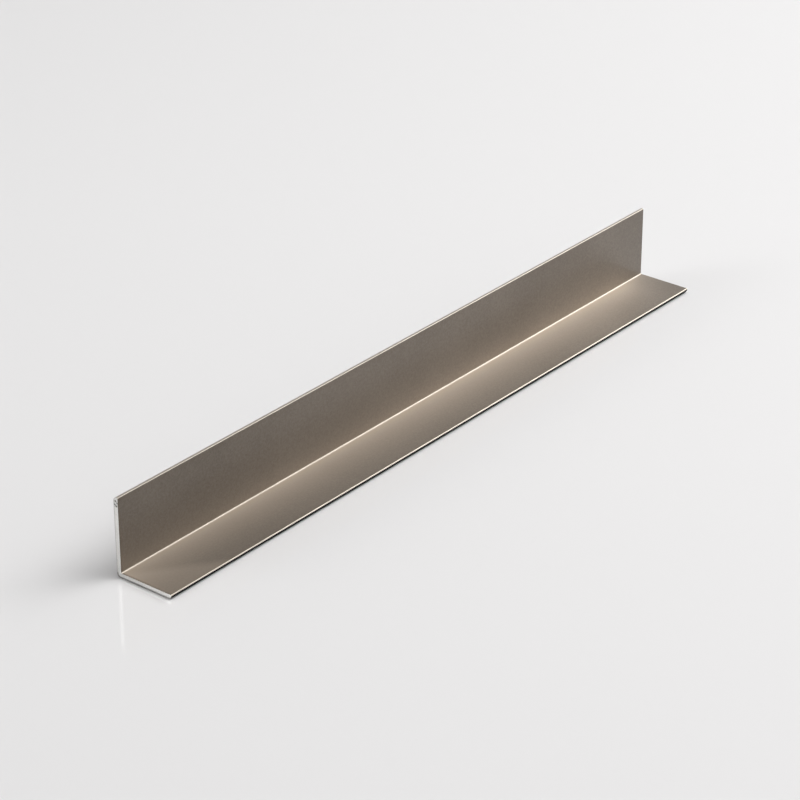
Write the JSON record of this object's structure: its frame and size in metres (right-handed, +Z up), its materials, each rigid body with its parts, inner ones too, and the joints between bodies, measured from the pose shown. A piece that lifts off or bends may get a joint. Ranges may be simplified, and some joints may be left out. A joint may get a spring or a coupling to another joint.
{
  "type": "metal angle section",
  "caption": "Unequal angle of satin anodised aluminium, a cut length of extruded stock for trimming edges and making brackets.",
  "frame": {"origin": "middle of the length and of the width, on the underside of the flange", "axes": "+X along the length, +Y from the flange's toe towards the back of the upright leg, +Z up"},
  "size_m": [0.25, 0.02, 0.025],
  "materials": {
    "anodised_aluminium": "satin anodised, warm grey bronze, with bare sawn ends"
  },
  "bodies": {
    "root": {"angle_section": "anodised_aluminium"}
  },
  "joints": []
}
